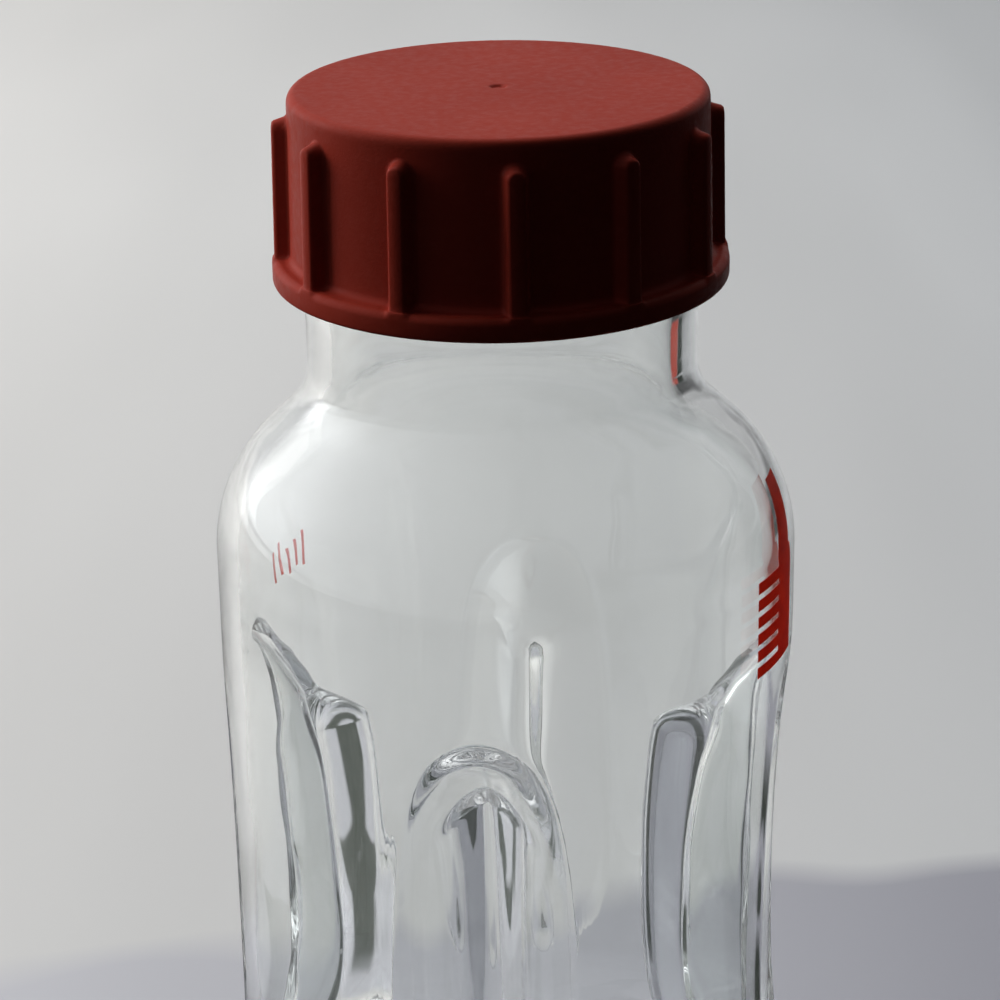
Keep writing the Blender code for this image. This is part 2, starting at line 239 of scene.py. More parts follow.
def inner_point(azimuth, z):
    """The outer wall offset along its normal, with the gathered glass straight inwards."""
    around = outer_point(azimuth + 0.1, z) - outer_point(azimuth - 0.1, z)
    upward = outer_point(azimuth, z + 0.05) - outer_point(azimuth, z - 0.05)
    normal = np.cross(around, upward)
    normal /= np.linalg.norm(normal, axis=1)[:, None]
    wall = WALL + WALL_WAVE * wave(azimuth, z, INNER_SEED)[:, None]
    inwards = ring(azimuth, 1.0, 0.0) * gathered(azimuth, z)[:, None]
    return outer_point(azimuth, z) - normal * wall - inwards


def thread_height(azimuth, z, low, turns, half_width, flank):
    """0 to 1 across a ridge that climbs one pitch a turn and fades at its ends."""
    angle = np.radians(azimuth) - 0.5 * math.pi  # from +X
    part = (angle / (2.0 * math.pi)) % 1.0
    whole = np.round((z - low) / THREAD_PITCH - part)
    turn = np.clip(part + whole, 0.0, None)
    distance = np.abs(z - (low + THREAD_PITCH * turn))
    ridge = smooth((half_width - distance) / flank)
    end_fade = 0.12  # turns
    return ridge * smooth(turn / end_fade) * smooth((turns - turn) / end_fade)


# ------------------------------------------------------------------ glass
def shoulder_profile():
    """The outside from the collar down to the straight wall, and the shoulder centre's height:
    a hollow fillet, a cone and a round."""
    points = []
    for angle in np.linspace(0.0, SHOULDER_SLOPE, 11):
        radius = COLLAR_R + NECK_FILLET * (1.0 - math.cos(math.radians(angle)))
        points.append((radius, COLLAR_LOW - NECK_FILLET * math.sin(math.radians(angle))))
    cone_r, cone_z = points[-1]
    sine, cosine = math.sin(math.radians(SHOULDER_SLOPE)), math.cos(math.radians(SHOULDER_SLOPE))
    round_r = SHOULDER_CENTRE_R + SHOULDER_R * cosine
    round_z = cone_z - (round_r - cone_r) / sine * cosine
    centre_z = round_z - SHOULDER_R * sine
    points += line(points[-1], (round_r, round_z), 8)[1:]
    points += arc(SHOULDER_CENTRE_R, centre_z, SHOULDER_R, SHOULDER_SLOPE, 0.0, 17)
    return points, centre_z


SHOULDER_PROFILE, SHOULDER_Z = shoulder_profile()


def body_heights(low, steps):
    """Heights of the rows from the shoulder down the wall."""
    z, out = SHOULDER_Z - 0.4, []
    while z > low:
        out.append(z)
        z -= next(step for height, step in steps if z > height)
    return out


def inner_shoulder_profile():
    """The inside from the wall up to the neck: a round, a cone and a rounded edge."""
    slope = math.radians(SHOULDER_SLOPE)
    rounded = arc(SHOULDER_CENTRE_R, SHOULDER_Z, SHOULDER_R - WALL, 0.0, SHOULDER_SLOPE, 14)
    cone_r, cone_z = rounded[-1]
    edge_r = NECK_IN_R + NECK_IN_ROUND
    rise = (cone_r * math.cos(slope) - edge_r * math.cos(slope) + NECK_IN_ROUND) / math.sin(slope)
    edge_z = cone_z + rise
    edge = [
        (
            edge_r - NECK_IN_ROUND * math.cos(math.radians(angle)),
            edge_z - NECK_IN_ROUND * math.sin(math.radians(angle)),
        )
        for angle in np.linspace(SHOULDER_SLOPE, 0.0, 9)
    ]
    return rounded[1:] + line(rounded[-1], edge[0], 6)[1:] + edge


def inside_rows(azimuth):
    """From the middle of the floor up the wall to the bore, just below the lip."""
    inner_r = BODY_R - WALL
    corner = BASE_CORNER - WALL + 1.5
    edge_z = FLOOR_Z - 1.6
    middle = (13.0, FLOOR_Z - 0.5)
    floor = line((0.0, FLOOR_Z), middle, 4) + line(middle, (inner_r - corner, edge_z), 4)
    floor += arc(inner_r - corner, edge_z + corner, corner, -90.0, 0.0, 14)
    press_start = 24.0
    rows = []
    for radius, z in floor:
        share = smooth((radius - press_start) / (inner_r - press_start))
        rows.append(ring(azimuth, radius - press(azimuth, z) * share, z))
    for z in reversed(body_heights(edge_z + corner, INNER_STEPS)):
        rows.append(inner_point(azimuth, z))

    neck = inner_shoulder_profile()
    for z in np.linspace(neck[-1][1], LIP_Z - LIP_IN_ROUND, 15)[1:-1]:
        narrowing = float(smooth((z - COLLAR_TOP + 3.0) / 9.0))
        neck.append((NECK_IN_R + (BORE_R - NECK_IN_R) * narrowing, z))
    for radius, z in neck:
        rows.append(ring(azimuth, radius - NECK_WAVE * wave(azimuth, z, INNER_SEED), z))
    return rows


def outside_rows(azimuth):
    """From below the lip down the thread, collar, shoulder and wall to the hollow base."""
    rows = []
    for z in np.linspace(LIP_Z - LIP_OUT_ROUND, COLLAR_TOP + 1.9, 42)[1:]:
        height = thread_height(azimuth, z, THREAD_LOW, THREAD_TURNS, half_width=1.2, flank=0.75)
        rows.append(ring(azimuth, FINISH_R + (THREAD_CREST_R - FINISH_R) * height, z))
    rows += rings(azimuth, arc(FINISH_R + 0.9, COLLAR_TOP + 1.6, 0.9, 180.0, 240.0, 4)[1:])
    rows += rings(azimuth, arc(COLLAR_R - 1.0, COLLAR_TOP - 0.3, 1.0, 75.0, 0.0, 6))
    collar = line((COLLAR_R, COLLAR_TOP - 0.4), SHOULDER_PROFILE[0], 8)[1:]
    for radius, z in collar + SHOULDER_PROFILE:
        rows.append(ring(azimuth, radius + OUTER_WAVE * wave(azimuth, z, OUTER_SEED), z))
    for z in body_heights(BASE_CORNER, OUTER_STEPS):
        radius = BODY_R - press(azimuth, z) + OUTER_WAVE * wave(azimuth, z, OUTER_SEED)
        rows.append(ring(azimuth, radius, z))
    for radius, z in arc(BODY_R - BASE_CORNER, BASE_CORNER, BASE_CORNER, 0.0, -90.0, 11):
        share = smooth((radius - 25.0) / 8.0)
        rows.append(ring(azimuth, radius - press(azimuth, z) * share, z))
    base = [(FOOT_R, 0.0), (FOOT_R - 0.6, 0.05), (FOOT_R - 1.6, 0.4), (FOOT_R - 2.6, 0.85)]
    base += line((FOOT_R - 3.4, 1.15), (0.0, PUNT_Z), 9) + [(0.0, PUNT_Z)]
    return rows + rings(azimuth, base)


def glass_rows(azimuth):
    inner, outer = LIP_IN_ROUND, LIP_OUT_ROUND
    lip = arc(BORE_R + inner, LIP_Z - inner, inner, 180.0, 90.0, 8)
    lip += arc(FINISH_R - outer, LIP_Z - outer, outer, 90.0, 0.0, 9)
    return inside_rows(azimuth) + rings(azimuth, lip) + outside_rows(azimuth)


# ------------------------------------------------------------------ cap and seal
# Small dimple in the middle of the cap's top: (radius, depth below the top)
CAP_DIMPLE = (
    (0.0, 0.25), (0.25, 0.26), (0.5, 0.3), (0.7, 0.29), (0.85, 0.16), (1.0, 0.04), (1.2, 0.0),
)
CAP_TOP_RADII = (1.6, 3.0, 6.0, 10.0, 14.0, 18.0, 21.0, 22.4)


def cap_outside_rows(azimuth):
    """Top face, rounded rim, ribbed side and the flange round the foot."""
    rows = rings(azimuth, [(radius, CAP_TOP - depth) for radius, depth in CAP_DIMPLE])
    rows += rings(azimuth, [(radius, CAP_TOP) for radius in CAP_TOP_RADII])
    rows += rings(azimuth, arc(CAP_RIM_R - CAP_EDGE, CAP_TOP - CAP_EDGE, CAP_EDGE, 90.0, 4.0, 14))

    rib_pitch = 360.0 / RIB_COUNT
    offset = (azimuth - RIB_AZIMUTH + rib_pitch / 2) % rib_pitch - rib_pitch / 2
    across = np.radians(offset) * 25.2

    def rib(z):
        """Height of the round-topped ribs at this height."""
        above = max(z - (RIB_TOP - 1.35), 0.0)
        distance = np.sqrt(across * across + above * above)
        crown = 1.0 - 0.12 * np.minimum(distance / 1.2, 1.0) ** 2
        return smooth((1.6 - distance) / 0.7) * (RIB_R - CAP_R) * crown

    flange_top = CAP_LOW + FLANGE_H
    foot = flange_top + FLANGE_FILLET
    heights = list(np.linspace(CAP_TOP - CAP_EDGE - 0.1, RIB_TOP - 3.2, 26))
    heights += list(np.linspace(RIB_TOP - 4.2, foot, 12))
    for z in heights:
        radius = CAP_RIM_R + (CAP_R - CAP_RIM_R) * (CAP_TOP - z) / (CAP_TOP - foot)
        rows.append(ring(azimuth, radius + rib(z), z))
    flange = arc(CAP_R + FLANGE_FILLET, foot, FLANGE_FILLET, 180.0, 270.0, 6)[1:]
    flange += arc(FLANGE_R - 1.0, flange_top - 1.0, 1.0, 90.0, 0.0, 9)
    for radius, z in flange:
        fade = max(0.0, 1.0 - (radius - CAP_R) / (FLANGE_R - CAP_R))
        rows.append(ring(azimuth, radius + rib(foot) * fade, z))
    return rows


def cap_inside_rows(azimuth):
    """Lower edge, plain skirt, thread and the underside of the top."""
    low = CAP_LOW
    skirt = arc(FLANGE_R - 0.5, low + 0.5, 0.5, 0.0, -90.0, 6) + [(25.4, low), (24.4, low)]
    skirt += arc(24.2, low + 0.3, 0.3, -90.0, -180.0, 4)
    skirt += [(23.9, low + 1.0), (23.9, low + 2.0), (23.9, low + 3.2)]
    skirt += [(23.6, low + 3.5), (23.2, low + 3.85)]
    rows = rings(azimuth, skirt)
    thread_low = THREAD_LOW - CAP_THREAD_DROP
    for z in np.linspace(low + 4.0, 138.0, 58):
        height = thread_height(
            azimuth, z, thread_low, CAP_THREAD_TURNS, half_width=1.05, flank=0.7
        )
        rows.append(ring(azimuth, CAP_ROOT_R - (CAP_ROOT_R - CAP_CREST_R) * height, z))
    underside = CAP_TOP - 1.6
    corner = arc(CAP_ROOT_R - 0.6, underside - 0.6, 0.6, 0.0, 90.0, 6)
    flat = [(radius, underside) for radius in (20.0, 16.0, 10.0, 4.0, 0.0)]
    return rows + rings(azimuth, [(CAP_ROOT_R, 139.0)] + corner + flat)


def disc_rows(azimuth, radius, low, top, edge, dish):
    """A disc with rounded edges and the lip's shallow ring pressed into its lower face."""
    lip_middle = (BORE_R + FINISH_R) / 2
    profile = [(r, top) for r in (0.0, 5.0, 10.0, 15.0, radius - edge - 0.4)]
    profile += arc(radius - edge, top - edge, edge, 90.0, 0.0, 6)
    profile += arc(radius - edge, low + edge, edge, 0.0, -90.0, 6)
    for r in np.linspace(radius - edge - 0.3, 14.5, 26):
        profile.append((r, low + dish * math.exp(-(((r - lip_middle) / 1.5) ** 4))))
    profile += [(r, low) for r in (12.0, 8.0, 4.0, 0.0)]
    return rings(azimuth, profile)


# ------------------------------------------------------------------ enamel marks
ENAMEL_LIFT, ENAMEL_THICK = 0.03, 0.05

# Patches: from azimuth, to azimuth, from z, to z, and lean in degrees per mm of height.
# An upright bar whose upper part leans, with teeth on its left.
BAR_LEFT, BAR_LOW, BAR_BEND = 66.0, 75.4, 88.9
TOOTH_PITCH, TOOTH_H = 2.15, 1.4
PANEL = [(BAR_LEFT, 74.0, BAR_LOW, BAR_BEND, 0.0), (BAR_LEFT, 73.0, BAR_BEND, 96.6, 0.9)]
for k in range(6):
    tooth_low = BAR_LOW + TOOTH_PITCH * k
    PANEL.append((56.5, BAR_LEFT, tooth_low, tooth_low + TOOTH_H, 0.0))

# Five short upright strokes, uneven at both ends
TICKS = [
    (-127.0 + 3.4 * k, -126.0 + 3.4 * k, 74.0 + 0.6 * (k % 2), 79.5 - 0.8 * (k % 3), 0.0)
    for k in range(5)
]


def enamel_patch(from_azimuth, to_azimuth, from_z, to_z, lean):
    """Points in mm and faces of a thin closed patch that follows the outside of the body."""
    wide = max(2, int(to_azimuth - from_azimuth) + 1)
    tall = max(2, int(to_z - from_z) + 1)
    azimuth, z = np.meshgrid(
        np.linspace(from_azimuth, to_azimuth, wide), np.linspace(from_z, to_z, tall)
    )
    azimuth, z = (azimuth + lean * (z - from_z)).ravel(), z.ravel()
    above = np.clip(z - SHOULDER_Z, 0.0, None)
    radius = SHOULDER_CENTRE_R + np.sqrt(SHOULDER_R**2 - above**2)
    lifts = (ENAMEL_LIFT + ENAMEL_THICK, ENAMEL_LIFT)
    points = np.concatenate([ring(azimuth, radius + lift, z) for lift in lifts])
    count = wide * tall
    faces = []
    for j in range(tall - 1):
        for i in range(wide - 1):
            corner = j * wide + i
            quad = [corner, corner + 1, corner + wide + 1, corner + wide]
            faces.append(quad)
            faces.append([count + v for v in reversed(quad)])
    border = list(range(wide))
    border += [j * wide + wide - 1 for j in range(1, tall)]
    border += [(tall - 1) * wide + i for i in range(wide - 2, -1, -1)]
    border += [j * wide for j in range(tall - 2, 0, -1)]
    for start, end in zip(border, border[1:] + border[:1]):
        faces.append([end, start, count + start, count + end])
    return points, faces


def enamel(name, patches):
    verts, faces = [], []
    for patch in patches:
        points, patch_faces = enamel_patch(*patch)
        first = len(verts)
        verts.extend((points * MM).tolist())
        faces.extend([[first + i for i in face] for face in patch_faces])
    return add_mesh(name, verts, faces, rounded=False)


# ------------------------------------------------------------------ shader helpers
class Signal:
    """One output of a shader node. Arithmetic on it adds Math nodes."""

    def __init__(self, graph, node, output=0):
        self.graph, self.node, self.output = graph, node, output

    def __getitem__(self, output):
        return Signal(self.graph, self.node, output)

    def __add__(self, other):
        return self.graph.math("ADD", self, other)

    def __sub__(self, other):
        return self.graph.math("SUBTRACT", self, other)

    def __rsub__(self, other):
        return self.graph.math("SUBTRACT", other, self)

    def __mul__(self, other):
        return self.graph.math("MULTIPLY", self, other)

    def __truediv__(self, other):
        return self.graph.math("DIVIDE", self, other)

    def __pow__(self, other):
        return self.graph.math("POWER", self, other)

    def __abs__(self):
        return self.graph.math("ABSOLUTE", self)

    def at_least(self, other):
        return self.graph.math("MAXIMUM", self, other)

    def at_most(self, other):
        return self.graph.math("MINIMUM", self, other)

    def remap(self, start, end, to):
        """Goes from to[0] at start to to[1] at end, and stays level beyond."""
        span = {"From Min": start, "From Max": end, "To Min": to[0], "To Max": to[1]}
        return self.graph.add("MapRange", {0: self, **span})

    def rise(self, start, end):
        return self.remap(start, end, to=(0.0, 1.0))

    def fall(self, start, end):
        return self.remap(start, end, to=(1.0, 0.0))

    def band(self, rise_start, rise_end, fall_start, fall_end):
        return self.rise(rise_start, rise_end) * self.fall(fall_start, fall_end)


class Graph:
    """An emptied node tree. Inputs are given by name or index, as a Signal or a value."""

    def __init__(self, tree):
        self.tree = tree
        tree.nodes.clear()

    def add(self, kind, inputs=None, **settings):
        node = self.tree.nodes.new("ShaderNode" + kind)
        for name, value in settings.items():
            setattr(node, name, value)
        for key, value in (inputs or {}).items():
            socket = node.inputs[key]
            if isinstance(value, Signal):
                self.tree.links.new(value.node.outputs[value.output], socket)
            elif socket.type == "RGBA":
                socket.default_value = (*value, 1.0)
            else:
                socket.default_value = value
        return Signal(self, node)

    def math(self, operation, *operands):
        return self.add("Math", dict(enumerate(operands)), operation=operation)

    def object_coords(self, scale=(1.0, 1.0, 1.0)):
        position = self.add("TexCoord")["Object"]
        return self.add("Mapping", {"Vector": position, "Scale": scale})

    def noise(self, vector, scale, detail, roughness):
        inputs = {"Vector": vector, "Scale": scale, "Detail": detail, "Roughness": roughness}
        return self.add("TexNoise", inputs)["Fac"]

    def ramp(self, value, stops):
        """stops: (position, colour)."""
        result = self.add("ValToRGB", {0: value})
        elements = result.node.color_ramp.elements
        while len(elements) < len(stops):
            elements.new(0.5)
        for element, (position, colour) in zip(elements, stops):
            element.position = position
            element.color = (*colour, 1.0)
        return result

    def mix(self, share, first, second, blend="MIX"):
        inputs = {0: share, 6: first, 7: second}
        return self.add("Mix", inputs, data_type="RGBA", blend_type=blend)[2]

    def bump(self, height, strength, distance):
        return self.add("Bump", {"Height": height, "Strength": strength, "Distance": distance})

    def mix_shaders(self, share, first, second):
        return self.add("MixShader", {0: share, 1: first, 2: second})


def new_material(name):
    material = bpy.data.materials.new(name)
    material.use_nodes = True
    return material, Graph(material.node_tree)


# ------------------------------------------------------------------ product materials
def glass_material():
    material, graph = new_material("borosilicate_glass")
    # faint smears in the roughness and tint, and a gentle drawn ripple in the bump
    smear = graph.noise(graph.object_coords(), scale=60.0, detail=5.0, roughness=0.6)
    tint = graph.ramp(smear, [(0.0, (0.985, 0.995, 0.99)), (1.0, (0.975, 0.99, 0.985))])
    stretched = graph.object_coords(scale=(1.0, 1.0, 0.35))
    drawn = graph.noise(stretched, scale=95.0, detail=2.0, roughness=0.4)
    glass = graph.add("BsdfPrincipled", {
        "Transmission Weight": 1.0,
        "IOR": 1.473,
        "Roughness": smear.remap(0.55, 0.8, to=(0.0, 0.045)),
        "Base Color": tint,
        "Normal": graph.bump(drawn, strength=0.25, distance=0.0004),
    })
    # thin clear glass throws almost no shadow
    shadow = graph.add("LightPath")["Is Shadow Ray"]
    clear = graph.add("BsdfTransparent", {"Color": (0.93, 0.94, 0.94)})
    graph.add("OutputMaterial", {0: graph.mix_shaders(shadow, glass, clear)})
    return material


def cap_material():
    material, graph = new_material("red_moulded_plastic")
    position = graph.object_coords()
    cloud = graph.noise(position, scale=45.0, detail=4.0, roughness=0.55)
    speck = graph.noise(position, scale=900.0, detail=2.0, roughness=0.5)
    colour = graph.ramp(cloud, [(0.3, (0.29, 0.029, 0.017)), (0.7, (0.335, 0.037, 0.022))])
    speckled = speck.remap(0.45, 0.75, to=(0.0, 0.25))
    colour = graph.mix(speckled, colour, (0.355, 0.052, 0.036))
    # edges are paler
    worn = graph.add("NewGeometry")["Pointiness"].remap(0.54, 0.62, to=(0.0, 0.3))
    colour = graph.mix(worn, colour, (0.46, 0.09, 0.07))
    grain = graph.noise(position, scale=2600.0, detail=3.0, roughness=0.6)
    plastic = graph.add("BsdfPrincipled", {
        "Base Color": colour,
        "Roughness": speck.remap(0.3, 0.7, to=(0.42, 0.56)),
        "Specular IOR Level": 0.10,
        "Normal": graph.bump(grain, strength=0.5, distance=0.00006),
    })
    graph.add("OutputMaterial", {0: plastic})
    return material


def mottled(graph, dark, light, scale, detail, roughness, gloss_range, depth):
    """A clouded colour with fine grain. Returns the colour and the surface."""
    position = graph.object_coords()
    cloud = graph.noise(position, scale, detail, roughness)
    colour = graph.ramp(cloud, [(0.3, dark), (0.7, light)])
    grain = graph.noise(position, scale=1800.0, detail=2.0, roughness=0.5)
    surface = graph.add("BsdfPrincipled", {
        "Base Color": colour,
        "Roughness": cloud.remap(0.3, 0.7, to=gloss_range),
        "Normal": graph.bump(grain, strength=0.35, distance=depth),
    })
    return colour, surface


def plain_material(name, dark, light, gloss, scale, depth):
    material, graph = new_material(name)
    _, surface = mottled(
        graph, dark, light, scale, detail=4.0, roughness=0.55,
        gloss_range=(gloss - 0.06, gloss + 0.06), depth=depth,
    )
    graph.add("OutputMaterial", {0: surface})
    return material


def enamel_material():
    """Thin fired-on red: some of the light behind it comes through."""
    material, graph = new_material("red_enamel")
    colour, surface = mottled(
        graph, (0.60, 0.085, 0.045), (0.72, 0.13, 0.07), scale=420.0, detail=4.0,
        roughness=0.6, gloss_range=(0.28, 0.42), depth=0.00003,
    )
    through = graph.add("BsdfTranslucent", {"Color": colour})
    graph.add("OutputMaterial", {0: graph.mix_shaders(0.7, surface, through)})
    return material


# ------------------------------------------------------------------ build the product
def place(piece, material, rides, replaces=None):
    piece.data.materials.append(material)
    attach(piece, rides)
    if replaces:
        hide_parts(replaces)


glass = glass_material()
red = cap_material()
silicone = plain_material(
    "silicone", dark=(0.56, 0.54, 0.50), light=(0.66, 0.64, 0.60),
    gloss=0.55, scale=80.0, depth=0.00004,
)
ptfe = plain_material(
    "ptfe", dark=(0.78, 0.78, 0.76), light=(0.86, 0.86, 0.85),
    gloss=0.38, scale=60.0, depth=0.00003,
)
ink = enamel_material()

bottle = lathe("glass_bottle", glass_rows(baffle_columns(280)))
place(bottle, glass, "bottle", replaces="bottle")

cap_azimuths = columns(384, sectors=RIB_COUNT, phase=RIB_AZIMUTH, crowd=0.35)
cap = lathe("cap_shell", cap_outside_rows(cap_azimuths) + cap_inside_rows(cap_azimuths))
place(cap, red, "cap", replaces="screw_cap")

even = columns(144, sectors=1, phase=0.0, crowd=1.0)
seal_rows = disc_rows(even, radius=22.0, low=138.85, top=140.15, edge=0.35, dish=0.0)
place(lathe("seal_disc", seal_rows), silicone, "seal", replaces="silicone_seal")
facing_rows = disc_rows(even, radius=21.6, low=138.3, top=138.7, edge=0.12, dish=0.12)
place(lathe("seal_facing", facing_rows), ptfe, "seal", replaces="ptfe_facing")

for name, patches in (("enamel_panel", PANEL), ("enamel_ticks", TICKS)):
    place(enamel(name, patches), ink, "bottle")


# ------------------------------------------------------------------ studio floor, in metres
# Reach of the painted dark fringe behind the bottle, which shows only through the glass: (x, y)
FRINGE_HALF_WIDTH = 0.125
FRINGE_REACH = (
    (-0.125, 0.010), (-0.105, 0.010), (-0.096, 0.040), (-0.087, 0.020), (-0.06, 0.021),
    (0.05, 0.022), (0.06, 0.016), (0.095, 0.016), (0.10, 0.026),
)
# how much the painted fringe darkens the floor, per channel
FRINGE_DARKENING = (0.87, 0.85, 0.885)  # red, green, blue


def paper_tone(graph, position, x, y):
    """Two pale sheets with painted light: both painted darker to the right, away from the light
    on the left, with soft folds of painted shade running up to the right.
    """
    blotch = graph.noise(position, scale=2.2, detail=2.0, roughness=0.5)
    # painted light falloff: the far sheet darkens to the right, away from the light on the left
    far = graph.mix(x.rise(-0.15, 0.15), (0.75, 0.74, 0.725), (0.54, 0.55, 0.56))
    # the nearer sheet is a darker, violet surface of its own, with part of its darkness painted
    # shade; it too is painted darker to the right
    near = graph.mix(x.rise(-0.08, 0.08), (0.62, 0.62, 0.655), (0.345, 0.345, 0.385))
    turned = graph.add(
        "Mapping",
        {"Vector": position, "Rotation": (0.0, 0.0, -0.9), "Scale": (9.0, 2.2, 1.0)},
    )
    # painted shade: soft bands of light and dark, as if the paper were folded
    fold = graph.noise(turned, scale=1.0, detail=2.0, roughness=0.45)
    fold = fold.remap(0.3, 0.7, to=(0.93, 1.06))
    # the nearer sheet's edge slants and wanders
    wander = graph.noise(position, scale=16.0, detail=1.0, roughness=0.4)
    wander = wander.remap(0.3, 0.7, to=(-0.010, 0.010))
    edge = y - (x * 0.27 + wander)
    tone = graph.mix(edge.rise(0.056, 0.066), near, far)
    # painted light falloff: the floor darkens farther back
    level = fold * y.remap(0.1, 0.75, to=(1.04, 0.84))
    level = level * blotch.remap(0.3, 0.7, to=(0.98, 1.02))
    grey = graph.add("CombineColor", {k: level for k in range(3)})
    return graph.mix(1.0, tone, grey, "MULTIPLY")


def room_shade(graph, tone, path, x, y):
    """Dark for bounced light, so the cap's front stays in shade, and dark to the right
    and behind the camera."""
    seen = path["Is Camera Ray"].at_least(path["Is Transmission Ray"])
    seen = seen.at_least(path["Is Glossy Ray"] * y.rise(0.12, 0.3))
    behind = y.remap(-0.4, -0.16, to=(0.3, 1.0)).at_least(x.fall(-0.25, -0.05))
    lit = x.remap(0.17, 0.36, to=(1.0, 0.10)) * behind
    return graph.mix(seen * lit, (0.03, 0.03, 0.03), tone)


def fold_gains(graph, tone, path, incoming, x, y):
    """Painted refraction in the floor, for rays through the glass only: a brightening beside the
    bottle and a dark fringe behind it, so the folds of the glass show bright and dark lines.
    """
    through = path["Is Transmission Ray"]
    away = y.rise(0.05, 0.065).at_least(x.rise(-0.088, -0.08))
    beside = (x.fall(-0.05, -0.03) * away).at_least(x.rise(0.045, 0.065))
    beside = beside * y.band(0.02, 0.035, 0.13, 0.19)

    # the ramp holds 20 times the reach, to use its whole range
    stops = [
        ((stop_x + FRINGE_HALF_WIDTH) / (2 * FRINGE_HALF_WIDTH), (20.0 * reach,) * 3)
        for stop_x, reach in FRINGE_REACH
    ]
    reach = graph.ramp(x.rise(-FRINGE_HALF_WIDTH, FRINGE_HALF_WIDTH), stops)
    past = y - reach * 0.05
    nearest = x.remap(-0.106, -0.10, to=(0.0, 0.014)) * x.fall(-0.055, -0.045)
    fringe = past.fall(-0.0015, 0.0025) * (y - nearest).rise(-0.009, -0.005)
    fringe = fringe * abs(x).fall(FRINGE_HALF_WIDTH, 0.14)
    # a small extra painted dark patch, right of the bottle
    patch = x.band(0.108, 0.114, 0.15, 0.16) * y.band(0.032, 0.037, 0.072, 0.08)
    fringe = fringe.at_least(patch) * through
    # only steep rays out of a fold, so the fringe stays out of clear views through the glass
    fringe = fringe * graph.add("SeparateXYZ", {0: incoming})[2].rise(0.39, 0.45)
    # painted brightening beside the bottle, seen only through the glass
    beside = beside * (through * 0.30)
    gains = {
        k: (beside + 1.0) * (1.0 - fringe * dark) for k, dark in enumerate(FRINGE_DARKENING)
    }
    return graph.mix(1.0, tone, graph.add("CombineColor", gains), "MULTIPLY")


def neck_lines(path, x, y):
    """Masks of a red and a dark line side by side, painted into the floor where rays through the
    edge of the neck land: a painted refraction of the red cap.
    """
    slope = y / x.at_least(0.01)
    caught = x.band(0.20, 0.22, 0.40, 0.44) * path["Ray Length"].band(0.350, 0.356, 0.44, 0.47)
    caught = caught * path["Is Transmission Ray"]
    red_line = caught * slope.band(0.70, 0.74, 0.92, 0.96)
    dark_line = caught * slope.band(0.92, 0.96, 1.12, 1.22)
    return red_line, dark_line


def backdrop_glow(path, x, y):
    """Even light on the far cloth, and at its left end a glow seen only in reflections: a painted
    window reflection, the shoulder's highlight.
    """
    glossy = path["Is Glossy Ray"]
    direct = path["Is Camera Ray"].at_least(path["Is Transmission Ray"]).at_least(glossy)
    shine = direct * y.remap(0.8, 1.6, to=(0.0, 0.42))
    # painted reflection: this patch glows only for reflected rays
    window = x.rise(-0.9, -2.4) * y.rise(1.0, 2.0)
    window = window * window * glossy
    return shine + window * 2.2


def floor_material():
    material, graph = new_material("studio_floor")
    position = graph.add("TexCoord")["Object"]
    place_on_floor = graph.add("SeparateXYZ", {0: position})
    x, y = place_on_floor[0], place_on_floor[1]
    path = graph.add("LightPath")
    geometry = graph.add("NewGeometry")

    tone = paper_tone(graph, position, x, y)
    tone = room_shade(graph, tone, path, x, y)
    tone = fold_gains(graph, tone, path, geometry["Incoming"], x, y)
    red_line, dark_line = neck_lines(path, x, y)
    # the painted refraction lines are dark in the floor's colour
    tone = graph.mix(red_line.at_least(dark_line), tone, (0.03, 0.04, 0.03))

    paper = graph.add("BsdfDiffuse", {"Color": tone})
    strength = backdrop_glow(path, x, y)
    backdrop = graph.add("Emission", {"Color": (0.98, 0.99, 1.0), "Strength": strength})
    glowing = graph.add("AddShader", {0: paper, 1: backdrop})
    # the red line glows although it is no lamp: a painted refraction of the red cap
    red_glow = graph.add("Emission", {"Color": (1.0, 0.10, 0.07), "Strength": red_line * 0.36})
    lined = graph.add("AddShader", {0: glowing, 1: red_glow})
    # seen from below, the floor is not there
    clear = graph.add("BsdfTransparent")
    surface = graph.mix_shaders(geometry["Backfacing"], lined, clear)
    graph.add("OutputMaterial", {0: surface})
    return material


def sweep(name, half_width, front, back, radius, height):
    """A floor that curves up into a backdrop at y = back."""
    profile = [(-front, 0.0), (back - radius, 0.0)]
    for angle in np.linspace(0.0, math.pi / 2, 24)[1:]:
        y = back - radius + radius * math.sin(angle)
        profile.append((y, radius - radius * math.cos(angle)))
    profile.append((back, height))
    verts = [(x, y, z) for y, z in profile for x in (-half_width, half_width)]
    faces = [[2 * i, 2 * i + 1, 2 * i + 3, 2 * i + 2] for i in range(len(profile) - 1)]
    return add_mesh(name, verts, faces, closed=False)


floor = sweep("studio_sweep", half_width=3.0, front=3.0, back=2.4, radius=0.8, height=2.6)
floor.location.z = -0.0003  # just clear of the foot
floor.data.materials.append(floor_material())


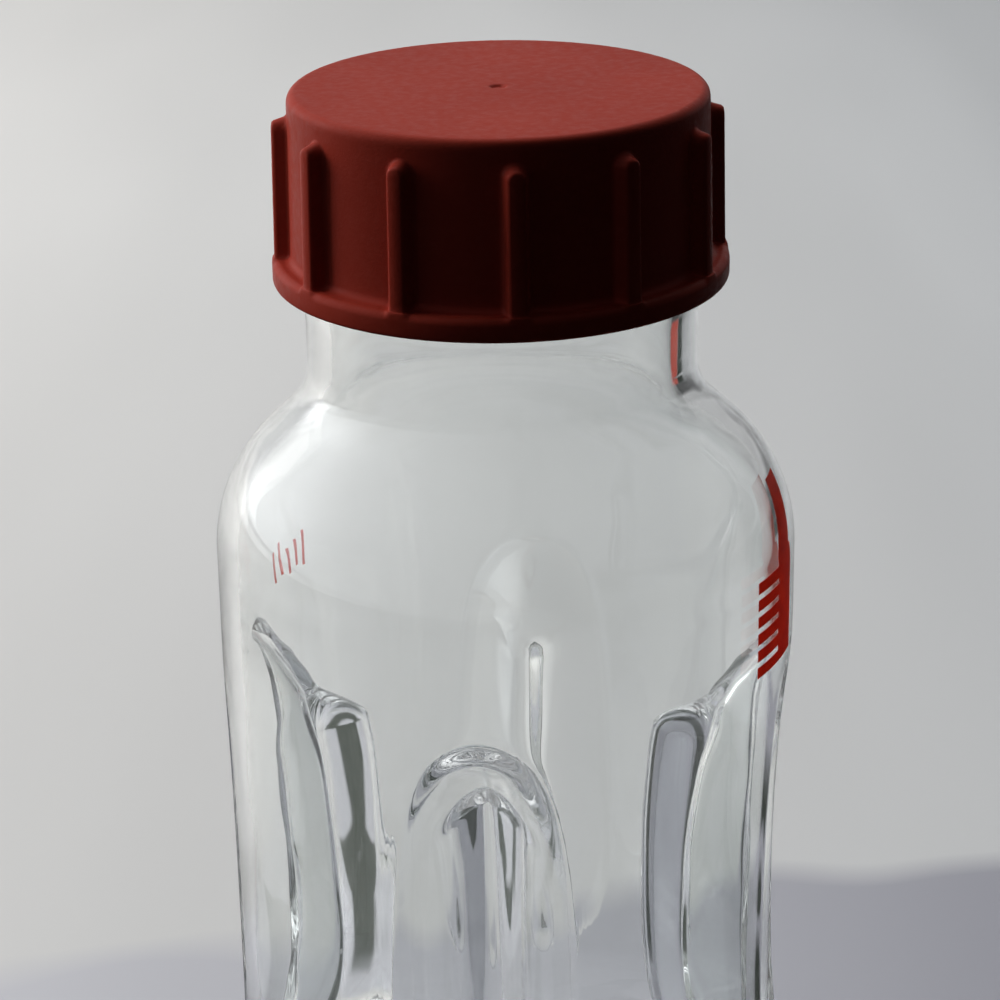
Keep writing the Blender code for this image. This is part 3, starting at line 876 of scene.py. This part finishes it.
# ------------------------------------------------------------------ world
def build_world():
    world = bpy.data.worlds.new("studio")
    bpy.context.scene.world = world
    world.use_nodes = True
    graph = Graph(world.node_tree)
    direction = graph.add("TexCoord")["Generated"]

    def lobe(towards, sharpness, strength):
        """A soft round glow in one direction."""
        axis = Vector(towards).normalized()
        dot = graph.add("VectorMath", {0: direction, 1: axis}, operation="DOT_PRODUCT")["Value"]
        return dot.at_least(0.0) ** sharpness * strength

    # brighter to the left, the back and above; dim behind the camera and to the right
    glow = lobe((-0.8, 0.5, 0.33), sharpness=4.0, strength=0.8)
    glow = glow + lobe((0.0, 0.95, 0.35), sharpness=3.0, strength=0.55)
    glow = glow + 0.006
    # what the glass shows: a bright window all down the left, with a soft patch on the shoulder
    window = lobe((-1.0, -0.1, 0.1), sharpness=1.2, strength=0.95)
    window = window + lobe((-0.887, 0.309, 0.367), sharpness=14.0, strength=0.8)
    window = window + lobe((-0.25, 0.3, 0.9), sharpness=1.5, strength=0.4)
    window = window + 0.10
    path = graph.add("LightPath")
    shown = path["Is Glossy Ray"].at_least(path["Is Transmission Ray"])
    # the camera sees the surround only from under the floor, through it
    under = path["Is Camera Ray"] * path["Transparent Depth"].at_most(1.0)
    glow = glow + window * shown.at_least(under)
    background = graph.add("Background", {"Color": (0.96, 0.98, 1.0), "Strength": glow})
    graph.add("OutputWorld", {0: background})


build_world()


# ------------------------------------------------------------------ lights, camera, render
def area_light(name, location, target, size, power, colour):
    """A rectangular light that shows in no reflection or refraction."""
    light = bpy.data.lights.new(name, "AREA")
    light.shape = "RECTANGLE"
    light.size, light.size_y = size
    light.energy = power
    light.color = colour
    lamp = bpy.data.objects.new(name, light)
    lamp.location = location
    aim = Vector(target) - Vector(location)
    lamp.rotation_euler = aim.to_track_quat("-Z", "Y").to_euler()
    lamp.visible_glossy = False
    lamp.visible_transmission = False
    bpy.context.scene.collection.objects.link(lamp)


area_light(
    "window_left", location=(-1.3, 0.55, 0.7), target=(0, 0, 0.09),
    size=(0.9, 0.9), power=18.0, colour=(1.0, 0.995, 0.98),
)
area_light(
    "top_back", location=(0.0, 1.2, 1.5), target=(0, 0.25, 0.0),
    size=(1.6, 0.9), power=19.0, colour=(0.98, 0.99, 1.0),
)

# The camera is close and a little above, looking down on the cap
CAMERA_DISTANCE, CAMERA_Z = 342.5, 106.1 + CAP_LOW  # mm
CAMERA_YAW, CAMERA_PITCH, CAMERA_ROLL = 0.10, 21.5, -1.0  # degrees; pitch is downwards
CAMERA_LENS = 109.44


def sine_cosine(degrees):
    return math.sin(math.radians(degrees)), math.cos(math.radians(degrees))


def add_camera():
    yaw_sin, yaw_cos = sine_cosine(CAMERA_YAW)
    pitch_sin, pitch_cos = sine_cosine(CAMERA_PITCH)
    roll_sin, roll_cos = sine_cosine(CAMERA_ROLL)
    forward = Vector((-pitch_cos * yaw_sin, pitch_cos * yaw_cos, -pitch_sin))
    level_right = Vector((yaw_cos, yaw_sin, 0.0))
    level_down = Vector((pitch_sin * yaw_sin, -pitch_sin * yaw_cos, -pitch_cos))
    right = roll_cos * level_right - roll_sin * level_down
    down = roll_sin * level_right + roll_cos * level_down
    lens = bpy.data.cameras.new("camera")
    lens.sensor_width = 36.0
    lens.lens = CAMERA_LENS
    lens.clip_start, lens.clip_end = 0.01, 20.0
    camera = bpy.data.objects.new("camera", lens)
    camera.matrix_world = Matrix((
        (right.x, -down.x, -forward.x, 0.0),
        (right.y, -down.y, -forward.y, -CAMERA_DISTANCE * MM),
        (right.z, -down.z, -forward.z, CAMERA_Z * MM),
        (0.0, 0.0, 0.0, 1.0),
    ))
    bpy.context.scene.collection.objects.link(camera)
    bpy.context.scene.camera = camera


add_camera()

scene = bpy.context.scene
scene.view_settings.view_transform = "Standard"
scene.view_settings.look = "None"
# light crosses many glass walls
scene.cycles.max_bounces = 48
scene.cycles.transmission_bounces = 48
scene.cycles.glossy_bounces = 48
scene.cycles.transparent_max_bounces = 16

bpy.context.view_layer.update()
